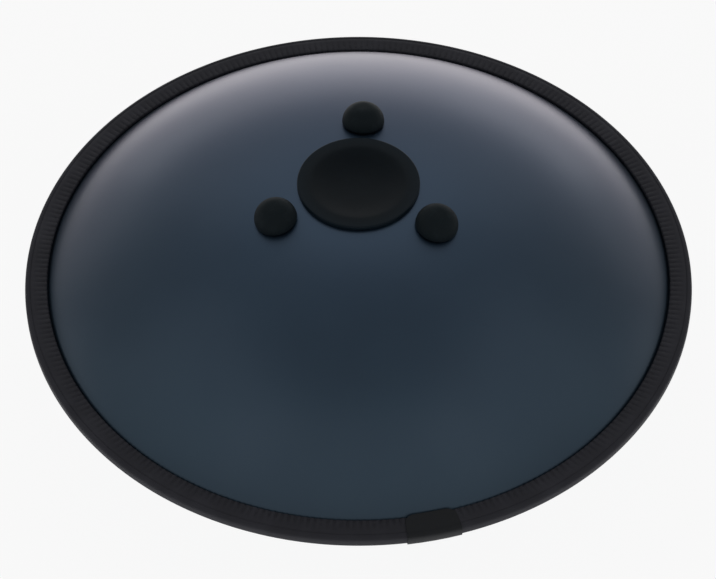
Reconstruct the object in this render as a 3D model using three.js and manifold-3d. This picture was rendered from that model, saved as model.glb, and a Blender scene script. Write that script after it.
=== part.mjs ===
// Tongue drum, lying on its playing face with its underside and feet up.
// Millimetres, +Z up. The origin is the middle of the playing face, on the ground.
import * as THREE from "three";
import { mergeVertices } from "three/addons/utils/BufferGeometryUtils.js";
import Module from "manifold-3d";

// Shells: two pressed domes, flange to flange
const FLANGE_RADIUS = 222.3;
const DOME_HEIGHT = 89; // crown of the full dome above the joint plane
const DOME_FLATNESS = 0.81; // height to width of the ball that the domes are part of
const CROWN_DROP = 3.4; // how far the playing face's middle is pressed flat
const SHELL_WALL = 1.6;
const FLANGE_FILLET = 1.5; // between flange and dome, outside
const BOND_THICKNESS = 0.5;

// Edge trim round the flanges
const TRIM_DEPTH = 15; // from its outer face to its lips
const TRIM_WALL = 2.4;
const TRIM_CORNER = 3.2; // rounding of its outer corners
const TRIM_LIP_ROUND = 1; // rounding of its lips
const TRIM_COVER = 0.4; // how far its lips reach over the foot of the dome's fillet
const TRIM_JOINT_AZIMUTH = -77.7; // degrees from +X
const TRIM_JOINT_GAP = 1.2;
const CORE_STRIP = 0.6; // steel strip inside the trim
const CORE_MARGIN = 2; // trim beyond the strip's edges

// Sleeve over the trim's joint
const SLEEVE_LENGTH = 35;
const SLEEVE_WALL = 0.6;
const SLEEVE_OVERHANG = 0.8; // how far it reaches past the trim's lips

// Sound port and its plug
const PORT_RADIUS = 34;
const PLUG_OVERLAP = 6.2; // plug's rim beyond the port's edge
const PLUG_RIM = 3.1; // height of the plug's outer edge
const PLUG_RIM_ROUND = 0.8;
const PLUG_DISH = 6.6; // how far the plug's face is dished
const PLUG_BOWL = 0.8; // share of the plug's radius that the dish takes up
const PLUG_BOWL_EASE = 1.2; // how softly the dish runs into the flat rim: 1 leaves an edge
const PLUG_WEB = 3; // thickness in the middle
const PLUG_NECK_WALL = 3;
const PLUG_HOLLOW = 3; // depth of the hollow under the web
const PLUG_LEAD = 1.2; // lead-in at the neck's end

// Feet
const FOOT_COUNT = 3;
const FOOT_TO_PLUG = 5.7; // open dome between the plug's rim and the feet
const FOOT_TURN = 87; // azimuth of the first foot, degrees
const FOOT_RADIUS = 14.1;
const FOOT_HEIGHT = 13;
const FOOT_BASE_ROUND = 0.6; // undercut round at the base
const FOOT_SIDE = 1; // height of the widest part
const FOOT_FLAT_RADIUS = 3; // flat crest that stands on the ground
const STUD_RADIUS = 2.5;
const STUD_END = 2; // stud beyond the nut
const PLATE_COVER = 4; // rubber round the stud's plate
const PLATE_THICKNESS = 1.5;
const WASHER_RIM = 5; // washer beyond the stud
const WASHER_THICKNESS = 1.2;
const NUT_WALL = 1.5; // from the stud to the nut's flats
const NUT_HEIGHT = 4;

// Tongues: U-shaped slots in the playing face, longest note first
const TONGUE_COUNT = 8;
const TONGUE_LONGEST = 102;
const TONGUE_SHORTEST = 74;
const TONGUE_WIDTH = 56;
const TONGUE_TAPER = 5; // how much narrower each side is at the tip
const TONGUE_ROOT_INSET = 30; // from the dome's foot to the tongues' roots
const SLOT_WIDTH = 1.6;
const SLOT_END_RADIUS = 2; // round hole that ends each slot
const CENTRE_NOTE_RADIUS = 31;
const CENTRE_NOTE_ROOT = 70; // degrees left uncut behind the centre note

// Clearances
const FIT_GAP = 0.3; // where one piece goes in or round another
const SEAT_GAP = 0.1; // where flat faces lie on each other

// Facets
const RING_FACETS = 48;
const DOME_RINGS = 9;
const SMALL_FACETS = 12;
const FOOT_FACETS = 18;
const ROUND_STEPS = 2;
const TIP_STEPS = 7;
const DISH_STEPS = 10;
const FOOT_DOME_STEPS = 5;

// Places that follow from the sizes above. Heights are from the joint plane between the flanges.
const FLANGE_BACK = BOND_THICKNESS / 2 + SEAT_GAP;
const FLANGE_FACE = FLANGE_BACK + SHELL_WALL;
const SLOT_HALF = FLANGE_FACE + FIT_GAP;
const TRIM_HALF = SLOT_HALF + TRIM_WALL;
const SLOT_RADIUS = FLANGE_RADIUS + FIT_GAP;
const TRIM_RADIUS = SLOT_RADIUS + TRIM_WALL;
const TRIM_LIP_RADIUS = TRIM_RADIUS - TRIM_DEPTH;
const TRIM_ROUND = Math.min(TRIM_CORNER, 1.4 * TRIM_WALL);
const DOME_FOOT_RADIUS = TRIM_LIP_RADIUS + TRIM_COVER;
const PLAYING_HEIGHT = DOME_HEIGHT - CROWN_DROP;
const PLUG_RADIUS = PORT_RADIUS + PLUG_OVERLAP;
const FOOT_CIRCLE = PLUG_RADIUS + FOOT_TO_PLUG + FOOT_RADIUS;
const STUD_BORE = STUD_RADIUS + FIT_GAP;

const STEEL_BLUE = new THREE.MeshStandardMaterial({ color: 0x47525e, roughness: 0.45, metalness: 0.6 });
const TRIM_BLACK = new THREE.MeshStandardMaterial({ color: 0x252525, roughness: 0.6, metalness: 0 });
const RUBBER_BLACK = new THREE.MeshStandardMaterial({ color: 0x191919, roughness: 0.75, metalness: 0 });
const ZINC = new THREE.MeshStandardMaterial({ color: 0xb9bcc0, roughness: 0.35, metalness: 1 });
const ADHESIVE = new THREE.MeshStandardMaterial({ color: 0x3a3b3c, roughness: 0.8, metalness: 0 });

const wasm = await Module();
wasm.setup();

const point = (radius, height) => new THREE.Vector2(radius, height);
const radians = THREE.MathUtils.degToRad;

/** A closed geometry as a solid: shared vertices merged, faces without area dropped. */
function solidOf(geometry) {
  const bare = geometry.clone();
  bare.deleteAttribute("normal");
  bare.deleteAttribute("uv");
  const merged = mergeVertices(bare);
  const corners = merged.index.array;
  const triangles = [];
  for (let i = 0; i < corners.length; i += 3) {
    const [a, b, c] = corners.slice(i, i + 3);
    if (a !== b && b !== c && c !== a) triangles.push(a, b, c);
  }
  return new wasm.Manifold(new wasm.Mesh({
    numProp: 3,
    vertProperties: new Float32Array(merged.attributes.position.array),
    triVerts: new Uint32Array(triangles),
  }));
}

/** A solid as a geometry with normals. */
function geometryOf(solid) {
  const { vertProperties, triVerts } = solid.getMesh();
  const geometry = new THREE.BufferGeometry();
  geometry.setAttribute("position", new THREE.BufferAttribute(vertProperties, 3));
  geometry.setIndex(new THREE.BufferAttribute(triVerts, 1));
  geometry.computeVertexNormals();
  return geometry;
}

/** A profile of (radius, height) points, anticlockwise, turned about +Z. */
function revolve(profile, facets = RING_FACETS) {
  return new THREE.LatheGeometry(profile, facets).rotateX(Math.PI / 2);
}

/** A profile that closes on itself, turned about +Z. */
function revolveRing(profile) {
  return revolve([...profile, profile[0]]);
}

/** Points on an arc about (radius, height), both ends included; angles in radians. */
function arc(radius, height, size, from, to, steps = ROUND_STEPS) {
  return Array.from({ length: steps + 1 }, (_, step) => {
    const angle = from + ((to - from) * step) / steps;
    return point(radius + size * Math.cos(angle), height + size * Math.sin(angle));
  });
}

function mesh(name, geometry, material) {
  const piece = new THREE.Mesh(geometry, material);
  piece.name = name;
  return piece;
}

// The pressed dome is part of a flattened ball that runs into the flange through a fillet. The
// ball's radius and the slope at the fillet follow from each other, so they are closed in on.
function pressedDome() {
  const passes = 30;
  const dome = { tilt: Math.PI / 4 };
  for (let pass = 0; pass < passes; pass += 1) {
    dome.edge = DOME_FOOT_RADIUS - FLANGE_FILLET * Math.sin(dome.tilt);
    const rise = DOME_HEIGHT - FLANGE_FACE - FLANGE_FILLET * (1 - Math.cos(dome.tilt));
    const drop = rise / DOME_FLATNESS;
    dome.ball = (dome.edge ** 2 + drop ** 2) / (2 * drop);
    dome.tilt = Math.atan((DOME_FLATNESS * dome.edge) / Math.sqrt(dome.ball ** 2 - dome.edge ** 2));
  }
  return dome;
}
const DOME = pressedDome();

/** The dome's slope angle at a radius. */
const domeTilt = (radius) =>
  Math.atan((DOME_FLATNESS * radius) / Math.sqrt(DOME.ball ** 2 - radius ** 2));
/** How far the dome falls from its crown to a radius. */
const domeDrop = (radius) =>
  DOME_FLATNESS * (DOME.ball - Math.sqrt(DOME.ball ** 2 - radius ** 2));
/** Height of the dome's outer face, or of the face that lies depth inside it. */
const domeAt = (radius, depth = 0) =>
  DOME_HEIGHT - domeDrop(radius) - depth / Math.cos(domeTilt(radius));

/** One face of a shell, from a radius on the dome out to the flange's edge. */
function shellFace(startRadius, depth) {
  const edge = DOME.edge - depth * Math.sin(DOME.tilt);
  const dome = Array.from({ length: DOME_RINGS }, (_, ring) => {
    const radius = startRadius + ((edge - startRadius) * ring) / DOME_RINGS;
    return point(radius, domeAt(radius, depth));
  });
  const fillet = arc(
    DOME_FOOT_RADIUS, FLANGE_FACE + FLANGE_FILLET, FLANGE_FILLET + depth,
    -Math.PI / 2 - DOME.tilt, -Math.PI / 2,
  );
  return [...dome, ...fillet, point(FLANGE_RADIUS, FLANGE_FACE - depth)];
}

/** Places of the feet: the middle of each base on the dome, with the dome's outward normal. */
const footPlaces = Array.from({ length: FOOT_COUNT }, (_, index) => {
  const azimuth = radians(FOOT_TURN) + (2 * Math.PI * index) / FOOT_COUNT;
  const turn = new THREE.Euler(0, domeTilt(FOOT_CIRCLE), azimuth, "ZYX");
  const seat = new THREE.Vector3(
    FOOT_CIRCLE * Math.cos(azimuth), FOOT_CIRCLE * Math.sin(azimuth), domeAt(FOOT_CIRCLE),
  );
  return { seat, turn };
});

/** Underside shell: the sound port is in its profile, the stud holes are cut square to the dome. */
function bottomShell() {
  const profile = [...shellFace(PORT_RADIUS, SHELL_WALL), ...shellFace(PORT_RADIUS, 0).reverse()];
  let shell = solidOf(revolveRing(profile));
  for (const { seat, turn } of footPlaces) {
    const drill = new THREE.CylinderGeometry(STUD_BORE, STUD_BORE, FOOT_RADIUS, SMALL_FACETS);
    const place = new THREE.Matrix4().makeRotationFromEuler(turn).setPosition(seat);
    shell = shell.subtract(solidOf(drill.rotateX(Math.PI / 2).applyMatrix4(place)));
  }
  return mesh("bottom_shell", geometryOf(shell), STEEL_BLUE);
}

/** A band of one width along an open path, with a round hole at both ends. */
function slotCutter(path) {
  const normals = path.map((here, index) => {
    const before = path[Math.max(index - 1, 0)];
    const after = path[Math.min(index + 1, path.length - 1)];
    return after.clone().sub(before).normalize().rotateAround(point(0, 0), Math.PI / 2);
  });
  const side = (offset) => path.map((here, index) => here.clone().addScaledVector(normals[index], offset));
  const band = new THREE.Shape([...side(SLOT_WIDTH / 2), ...side(-SLOT_WIDTH / 2).reverse()]);
  const cut = { depth: 2 * DOME_HEIGHT, bevelEnabled: false, curveSegments: SMALL_FACETS / 4 };
  let cutter = solidOf(new THREE.ExtrudeGeometry(band, cut));
  for (const end of [path[0], path[path.length - 1]]) {
    const hole = new THREE.Shape().absarc(end.x, end.y, SLOT_END_RADIUS, 0, 2 * Math.PI);
    cutter = cutter.add(solidOf(new THREE.ExtrudeGeometry(hole, cut)));
  }
  return cutter;
}

/** Path of a tongue's slot: up one side from the root, round the tip, and back. */
function tonguePath(length, azimuth) {
  const root = DOME_FOOT_RADIUS - TONGUE_ROOT_INSET;
  const tipRadius = TONGUE_WIDTH / 2 - TONGUE_TAPER;
  const tip = root - length + tipRadius;
  return [
    point(root, TONGUE_WIDTH / 2),
    ...arc(tip, 0, tipRadius, Math.PI / 2, (3 * Math.PI) / 2, TIP_STEPS),
    point(root, -TONGUE_WIDTH / 2),
  ].map((corner) => corner.rotateAround(point(0, 0), azimuth));
}

/** Playing shell, with its notes alternating from side to side as the scale rises. */
function tongueShell() {
  const crown = Math.sqrt(DOME.ball ** 2 - (DOME.ball - CROWN_DROP / DOME_FLATNESS) ** 2);
  const crownInside = crown - SHELL_WALL * Math.tan(domeTilt(crown) / 2);
  const profile = [
    point(0, PLAYING_HEIGHT - SHELL_WALL),
    point(crownInside, PLAYING_HEIGHT - SHELL_WALL),
    ...shellFace(crownInside, SHELL_WALL).slice(1),
    ...shellFace(crown, 0).reverse(),
    point(0, PLAYING_HEIGHT),
  ];
  let shell = solidOf(revolve(profile));
  for (let note = 0; note < TONGUE_COUNT; note += 1) {
    const length = TONGUE_LONGEST - ((TONGUE_LONGEST - TONGUE_SHORTEST) * note) / (TONGUE_COUNT - 1);
    const place = Math.ceil(note / 2) * (note % 2 === 0 ? -1 : 1);
    const azimuth = (2 * Math.PI * place) / TONGUE_COUNT - Math.PI / 2;
    shell = shell.subtract(slotCutter(tonguePath(length, azimuth)));
  }
  const halfRoot = radians(CENTRE_NOTE_ROOT) / 2;
  const centrePath = arc(
    0, 0, CENTRE_NOTE_RADIUS, Math.PI / 2 + halfRoot, (5 * Math.PI) / 2 - halfRoot, 2 * TIP_STEPS,
  );
  shell = shell.subtract(slotCutter(centrePath));
  const piece = mesh("tongue_shell", geometryOf(shell), STEEL_BLUE);
  piece.rotation.x = Math.PI;
  return piece;
}

function flangeBond() {
  const half = BOND_THICKNESS / 2;
  const profile = [
    point(DOME_FOOT_RADIUS, -half), point(FLANGE_RADIUS, -half),
    point(FLANGE_RADIUS, half), point(DOME_FOOT_RADIUS, half),
  ];
  return mesh("flange_bond", revolveRing(profile), ADHESIVE);
}

/** Section of a channel that opens towards the axis; its corners and lips can be rounded. */
function channel({ lip, back, half, wall, corner, innerCorner = 0, lipRound = 0 }) {
  const inner = half - wall;
  const innerBack = back - wall;
  const round = (radius, height, size, from, turn) =>
    size > 0 ? arc(radius, height, size, from, from + turn) : [point(radius, height)];
  const quarter = Math.PI / 2;
  return [
    ...round(lip + lipRound, lipRound - half, lipRound, Math.PI, quarter),
    ...round(back - corner, corner - half, corner, -quarter, quarter),
    ...round(back - corner, half - corner, corner, 0, quarter),
    ...round(lip + lipRound, half - lipRound, lipRound, quarter, quarter),
    point(lip, inner),
    ...round(innerBack - innerCorner, inner - innerCorner, innerCorner, quarter, -quarter),
    ...round(innerBack - innerCorner, innerCorner - inner, innerCorner, 0, -quarter),
    point(lip, -inner),
  ];
}

/** Section of the steel strip in the middle of the trim's wall, grown by a clearance all round. */
function coreChannel(clearance) {
  const skin = (TRIM_WALL - CORE_STRIP) / 2 - clearance;
  const wall = CORE_STRIP + 2 * clearance;
  const corner = Math.max(TRIM_ROUND - skin, wall);
  return channel({
    lip: TRIM_LIP_RADIUS + CORE_MARGIN - clearance,
    back: TRIM_RADIUS - skin, half: TRIM_HALF - skin, wall, corner, innerCorner: corner - wall,
  });
}

/** A block square to the rim at the trim's joint, as long as given along the rim. */
function jointBlock(length) {
  const block = new THREE.BoxGeometry(4 * TRIM_DEPTH, length, 4 * TRIM_HALF);
  return solidOf(block.translate(TRIM_RADIUS, 0, 0).rotateZ(radians(TRIM_JOINT_AZIMUTH)));
}

/** Edge trim: one length bent round the flanges, with the pocket that holds its steel strip. */
function rimTrim() {
  const section = channel({
    lip: TRIM_LIP_RADIUS, back: TRIM_RADIUS, half: TRIM_HALF, wall: TRIM_WALL,
    corner: TRIM_ROUND, lipRound: Math.min(TRIM_LIP_ROUND, TRIM_WALL / 2),
  });
  const pocket = solidOf(revolveRing(coreChannel(FIT_GAP)));
  const trim = solidOf(revolveRing(section)).subtract(pocket).subtract(jointBlock(TRIM_JOINT_GAP));
  return mesh("rim_trim", geometryOf(trim), TRIM_BLACK);
}

function trimClipCore() {
  const strip = solidOf(revolveRing(coreChannel(0))).subtract(jointBlock(TRIM_JOINT_GAP + 2 * FIT_GAP));
  return mesh("trim_clip_core", geometryOf(strip), ZINC);
}

function trimJointSleeve() {
  const reach = FIT_GAP + SLEEVE_WALL;
  const section = channel({
    lip: TRIM_LIP_RADIUS - SLEEVE_OVERHANG, back: TRIM_RADIUS + reach, half: TRIM_HALF + reach,
    wall: SLEEVE_WALL, corner: TRIM_ROUND + reach, innerCorner: TRIM_ROUND + FIT_GAP,
  });
  const sleeve = solidOf(revolveRing(section)).intersect(jointBlock(SLEEVE_LENGTH));
  return mesh("trim_joint_sleeve", geometryOf(sleeve), TRIM_BLACK);
}

/** Rubber plug: a dished face, a rim that lies on the dome, and a hollow neck down into the port. */
function portPlug() {
  const neck = PORT_RADIUS - FIT_GAP;
  const neckInside = neck - PLUG_NECK_WALL;
  const top = domeAt(PLUG_RADIUS) + FIT_GAP + PLUG_RIM;
  const webBottom = top - PLUG_DISH - PLUG_WEB;
  const neckEnd = webBottom - PLUG_HOLLOW;
  const lip = PLUG_RADIUS - PLUG_RIM_ROUND;
  const dish = Array.from({ length: DISH_STEPS + 1 }, (_, step) => {
    const share = 1 - step / DISH_STEPS;
    const bowl = Math.max(0, 1 - (share / PLUG_BOWL) ** 2);
    return point(lip * share, top - PLUG_DISH * bowl ** PLUG_BOWL_EASE);
  });
  const profile = [
    point(0, webBottom),
    point(neckInside, webBottom),
    point(neckInside, neckEnd),
    point(neck - PLUG_LEAD, neckEnd),
    point(neck, neckEnd + PLUG_LEAD),
    point(neck, domeAt(neck) + FIT_GAP),
    point(PLUG_RADIUS, domeAt(PLUG_RADIUS) + FIT_GAP),
    point(PLUG_RADIUS, top - PLUG_RIM_ROUND),
    ...dish,
  ];
  return mesh("port_plug", revolve(profile), RUBBER_BLACK);
}

/** Rubber dome foot with a recess for the stud's plate; its base is at z = 0. */
function footBumper(name) {
  const recess = PLATE_RADIUS + FIT_GAP;
  const ceiling = PLATE_THICKNESS + FIT_GAP;
  const dome = Array.from({ length: FOOT_DOME_STEPS + 1 }, (_, step) => {
    const angle = (Math.PI / 2) * (step / FOOT_DOME_STEPS);
    return point(
      FOOT_FLAT_RADIUS + (FOOT_RADIUS - FOOT_FLAT_RADIUS) * Math.cos(angle),
      FOOT_SIDE + (FOOT_HEIGHT - FOOT_SIDE) * Math.sin(angle),
    );
  });
  const profile = [
    point(0, ceiling), point(recess, ceiling), point(recess, 0),
    point(FOOT_RADIUS - FOOT_BASE_ROUND, 0), ...dome, point(0, FOOT_HEIGHT),
  ];
  return mesh(name, revolve(profile, FOOT_FACETS), RUBBER_BLACK);
}

// Hardware under a foot: heights from the dome's outer face, square to it. The dome's inside is
// hollow, so a flat washer meets it at its edge.
const PLATE_RADIUS = FOOT_RADIUS - PLATE_COVER;
const WASHER_RADIUS = STUD_RADIUS + WASHER_RIM;
const WASHER_SAG = domeDrop(WASHER_RADIUS);
const WASHER_TOP = -SHELL_WALL - WASHER_SAG - FIT_GAP;
const NUT_TOP = WASHER_TOP - WASHER_THICKNESS - SEAT_GAP;
const STUD_TIP = NUT_TOP - NUT_HEIGHT - STUD_END;

function footStud(name) {
  const profile = [
    point(0, STUD_TIP), point(STUD_RADIUS, STUD_TIP), point(STUD_RADIUS, FIT_GAP),
    point(PLATE_RADIUS, FIT_GAP), point(PLATE_RADIUS, FIT_GAP + PLATE_THICKNESS),
    point(0, FIT_GAP + PLATE_THICKNESS),
  ];
  return mesh(name, revolve(profile, SMALL_FACETS), ZINC);
}

function footWasher(name) {
  const bottom = WASHER_TOP - WASHER_THICKNESS;
  const profile = [
    point(STUD_BORE, bottom), point(WASHER_RADIUS, bottom),
    point(WASHER_RADIUS, WASHER_TOP), point(STUD_BORE, WASHER_TOP), point(STUD_BORE, bottom),
  ];
  return mesh(name, revolve(profile, SMALL_FACETS), ZINC);
}

function footNut(name) {
  const corner = (STUD_RADIUS + NUT_WALL) / Math.cos(Math.PI / 6);
  const outline = new THREE.Shape(Array.from({ length: 6 }, (_, side) =>
    point(corner, 0).rotateAround(point(0, 0), (side * Math.PI) / 3)));
  outline.holes.push(new THREE.Path().absarc(0, 0, STUD_BORE, 0, 2 * Math.PI, true));
  const prism = { depth: NUT_HEIGHT, bevelEnabled: false, curveSegments: SMALL_FACETS };
  const nut = new THREE.ExtrudeGeometry(outline, prism).translate(0, 0, NUT_TOP - NUT_HEIGHT);
  return mesh(name, nut, ZINC);
}

/** One foot with its hardware, set square on the dome. */
function foot({ seat, turn }, number) {
  const group = new THREE.Group();
  group.position.copy(seat);
  group.rotation.copy(turn);
  const bumper = footBumper(`foot_bumper_${number}`);
  bumper.position.z = FIT_GAP;
  group.add(
    bumper, footStud(`foot_stud_${number}`), footWasher(`foot_washer_${number}`),
    footNut(`foot_nut_${number}`),
  );
  return group;
}

// The drum is built about the joint plane and lifted so that its playing face is on the ground.
const drum = new THREE.Group();
drum.position.z = PLAYING_HEIGHT;
drum.add(
  bottomShell(), tongueShell(), flangeBond(), rimTrim(), trimClipCore(), trimJointSleeve(), portPlug(),
  ...footPlaces.map((place, index) => foot(place, index + 1)),
);

export default new THREE.Group().add(drum);
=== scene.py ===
"""Steel tongue drum that lies on its playing face, with its underside and rubber feet up.

Laid out as an add-on: sizes, finishes and stage are properties, and one operator makes each piece
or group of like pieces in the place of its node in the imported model. Lengths are in metres.
"""
import math

import bmesh
import bpy
from bpy.props import FloatProperty, FloatVectorProperty, IntProperty, PointerProperty
from mathutils import Matrix, Vector


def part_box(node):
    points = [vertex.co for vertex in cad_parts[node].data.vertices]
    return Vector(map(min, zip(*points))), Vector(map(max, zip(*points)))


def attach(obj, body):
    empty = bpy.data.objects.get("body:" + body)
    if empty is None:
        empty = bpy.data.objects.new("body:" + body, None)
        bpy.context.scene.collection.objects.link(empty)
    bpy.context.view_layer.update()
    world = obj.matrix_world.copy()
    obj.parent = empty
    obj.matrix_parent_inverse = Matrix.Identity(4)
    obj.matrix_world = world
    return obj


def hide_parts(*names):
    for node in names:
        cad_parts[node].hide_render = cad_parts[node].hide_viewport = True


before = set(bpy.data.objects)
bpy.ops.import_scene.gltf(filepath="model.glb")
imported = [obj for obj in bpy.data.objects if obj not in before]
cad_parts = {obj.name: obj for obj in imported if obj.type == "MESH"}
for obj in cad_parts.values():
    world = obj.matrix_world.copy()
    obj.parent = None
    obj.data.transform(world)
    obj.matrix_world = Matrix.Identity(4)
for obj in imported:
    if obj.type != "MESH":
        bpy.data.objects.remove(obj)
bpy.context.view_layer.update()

RIM_LOW, RIM_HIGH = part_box("rim_trim")
RIM_RADIUS = RIM_HIGH.x
JOINT_HEIGHT = (RIM_LOW.z + RIM_HIGH.z) / 2
MILLIMETRE = 0.001
FULL_TURN = 2 * math.pi
MERGE_DISTANCE = 1e-6
SIDEBAR_TAB = "Tongue Drum"

bl_info = {
    "name": "Tongue Drum",
    "version": (1, 0, 0),
    "blender": (4, 5, 0),
    "location": "3D View > Sidebar > Tongue Drum",
    "description": "Models a steel tongue drum round its packed frame",
    "category": "Add Mesh",
}


# Properties

def size(name, millimetres, description):
    """A length that a user would change, given in millimetres."""
    return FloatProperty(
        name=name, description=description, default=millimetres * MILLIMETRE, precision=5, unit="LENGTH")


def turn(name, degrees, description):
    """An angle that a user would change, given in degrees."""
    return FloatProperty(
        name=name, description=description, default=math.radians(degrees), subtype="ANGLE")


def count(name, number, description):
    """A number of like things."""
    return IntProperty(name=name, description=description, default=number, min=1)


def share(name, number, description):
    """A number without a unit."""
    return FloatProperty(name=name, description=description, default=number, precision=4)


def tint(name, red, green, blue, description):
    """A colour in linear light."""
    return FloatVectorProperty(
        name=name, description=description, default=(red, green, blue, 1.0), size=4, subtype="COLOR")


class ShellSizes(bpy.types.PropertyGroup):
    """Two pressed domes, flange to flange."""

    flange_radius: size("Flange radius", 222.3, "Radius of both flanges")
    dome_height: size("Dome height", 89, "Crown of the full dome above the joint plane")
    flatness: share("Dome flatness", 0.81, "Height to width of the ball that the domes are part of")
    crown_drop: size("Crown drop", 3.4, "How far the middle of the playing face is pressed flat")
    crown_blend: size("Crown blend", 5, "Reach of the soft edge round the flat of the playing face")
    wall: size("Wall", 1.6, "Thickness of the sheet steel")
    fillet: size("Flange fillet", 1.5, "Outside radius between flange and dome")
    bond: size("Bond", 0.5, "Thickness of the adhesive between the flanges")
    fit_gap: size("Fit gap", 0.3, "Clearance where one piece goes in or round another")
    seat_gap: size("Seat gap", 0.1, "Clearance where flat faces lie on each other")
    port_radius: size("Port radius", 34, "Radius of the sound port")
    port_round: size("Port edge round", 0.4, "Rounding of the sound port's edge")
    rings: count("Rings", 40, "Rings of faces from a dome's middle to its edge")
    facets: count("Facets", 240, "Faces round a dome")


class TongueSizes(bpy.types.PropertyGroup):
    """U-shaped slots that cut the notes, longest note first."""

    notes: count("Notes", 8, "Tongues round the playing face")
    longest: size("Longest tongue", 102, "Length of the lowest note")
    shortest: size("Shortest tongue", 74, "Length of the highest note")
    width: size("Tongue width", 56, "Width of a tongue at its root")
    taper: size("Tongue taper", 5, "How much narrower each side is at the tip")
    root_inset: size("Root inset", 30, "From the dome's foot to the roots of the tongues")
    slot: size("Slot width", 1.6, "Width of the cut")
    slot_end: size("Slot end radius", 2, "Round hole that ends each cut")
    centre_radius: size("Centre note radius", 31, "Radius of the note in the middle")
    centre_root: turn("Centre note root", 70, "Arc left uncut behind the middle note")


class TrimSizes(bpy.types.PropertyGroup):
    """Black channel pressed over the flanges, its steel strip, and the sleeve over its joint."""

    depth: size("Depth", 15, "From the outer face to the lips")
    wall: size("Wall", 2.4, "Thickness of the channel")
    corner: size("Corner", 3.2, "Rounding of the outer corners")
    lip_round: size("Lip round", 1, "Rounding of the lips")
    cover: size("Cover", 0.4, "How far the lips reach over the foot of the dome's fillet")
    crease_depth: size("Crease depth", 0.4, "Depth of the crease between flank and outer face")
    crease_width: size("Crease width", 0.9, "Width of that crease")
    ribs: count("Ribs", 322, "Cross ribs round the trim")
    rib_depth: size("Rib depth", 0.5, "Depth of the valleys between the ribs at the lips")
    rib_reach: size("Rib reach", 9.5, "How far the ribs run out from the lips")
    joint_turn: turn("Joint", -77.7, "Where the ends of the trim meet, from +X")
    joint_gap: size("Joint gap", 1.2, "Gap between the ends")
    strip: size("Strip", 0.6, "Thickness of the steel strip inside the trim")
    strip_margin: size("Strip margin", 2, "Trim beyond the edges of the strip")
    sleeve_length: size("Sleeve length", 35, "Length of the sleeve along the rim")
    sleeve_wall: size("Sleeve wall", 0.6, "Thickness of the sleeve")
    sleeve_overhang: size("Sleeve overhang", 0.8, "How far the sleeve reaches past the lips")
    sleeve_corner: size("Sleeve corner", 6.5, "Rounding of the sleeve's inner corners")


class PlugSizes(bpy.types.PropertyGroup):
    """Dished rubber plug in the sound port."""

    overlap: size("Overlap", 6.2, "Rim of the plug beyond the port's edge")
    rim: size("Rim height", 3.1, "Height of the outer edge")
    rim_round: size("Rim round", 0.8, "Rounding of the outer edge")
    dish: size("Dish", 6.6, "How far the face is dished")
    bowl: share("Bowl", 0.84, "Share of the face's radius that the dish takes up")
    bowl_ease: share("Bowl ease", 1.3, "How softly the dish runs into the flat rim: 1 leaves an edge")
    web: size("Web", 3, "Thickness in the middle")
    neck_wall: size("Neck wall", 3, "Thickness of the neck in the port")
    hollow: size("Hollow", 3, "Depth of the hollow under the web")
    lead: size("Lead-in", 1.2, "Bevel at the end of the neck")


class FootSizes(bpy.types.PropertyGroup):
    """Rubber dome feet with their studs, washers and nuts."""

    feet: count("Feet", 3, "Feet round the plug")
    to_plug: size("Gap to plug", 5.7, "Open dome between the plug's rim and the feet")
    first_turn: turn("First foot", 87, "Where the first foot stands, from +X")
    radius: size("Radius", 14.1, "Radius at the widest part")
    height: size("Height", 13, "Height above the dome")
    base_round: size("Base round", 0.6, "Undercut at the base")
    side: size("Side", 1, "Height of the widest part")
    flat: size("Flat", 3, "Radius of the flat crest")
    stud: size("Stud radius", 2.5, "Outer radius of the stud's thread")
    stud_end: size("Stud end", 2, "Stud beyond the nut")
    thread_pitch: size("Thread pitch", 0.8, "From one thread to the next")
    thread_depth: size("Thread depth", 0.4, "From the thread's crest to its root")
    plate_cover: size("Plate cover", 4, "Rubber round the stud's plate")
    plate: size("Plate", 1.5, "Thickness of the stud's plate")
    washer_rim: size("Washer rim", 5, "Washer beyond the stud")
    washer: size("Washer", 1.2, "Thickness of the washer")
    nut_wall: size("Nut wall", 1.5, "From the stud to the nut's flats")
    nut: size("Nut", 4, "Height of the nut")
    edge: size("Edge", 0.25, "Broken edge on washers and nuts")


class Finishes(bpy.types.PropertyGroup):
    """Colours of the drum's finishes."""

    crown_paint: tint("Paint, middle", 0.0640, 0.1230, 0.2060, "Metallic paint round the sound port")
    rim_paint: tint("Paint, rim", 0.0525, 0.1010, 0.1530, "Metallic paint out by the flange")
    paint_roughness: share("Paint roughness", 0.42, "Roughness of the metallic paint")
    lacquer_roughness: share("Lacquer roughness", 0.30, "Roughness of the satin lacquer over the paint")
    grazing_tint: tint("Paint, grazing", 1.0, 0.82, 0.90, "Tint of the paint where it is seen at a low angle")
    trim_black: tint("Trim", 0.0450, 0.0455, 0.0560, "Black vinyl of the edge trim")
    sleeve_black: tint("Sleeve", 0.0225, 0.0245, 0.0280, "Black shrink sleeve over the trim's joint")
    plug_black: tint("Plug rubber", 0.0032, 0.0070, 0.0105, "Smooth black rubber of the plug")
    foot_black: tint("Foot rubber", 0.0140, 0.0210, 0.0250, "Dull black rubber of the feet")
    rubber_gloss: tint("Rubber gloss", 0.84, 0.92, 1.0, "Tint of the reflections on plug and feet")
    zinc: tint("Zinc", 0.5600, 0.5750, 0.6000, "Bright zinc plate on steel")
    adhesive: tint("Adhesive", 0.0400, 0.0410, 0.0420, "Grey structural adhesive")


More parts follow.
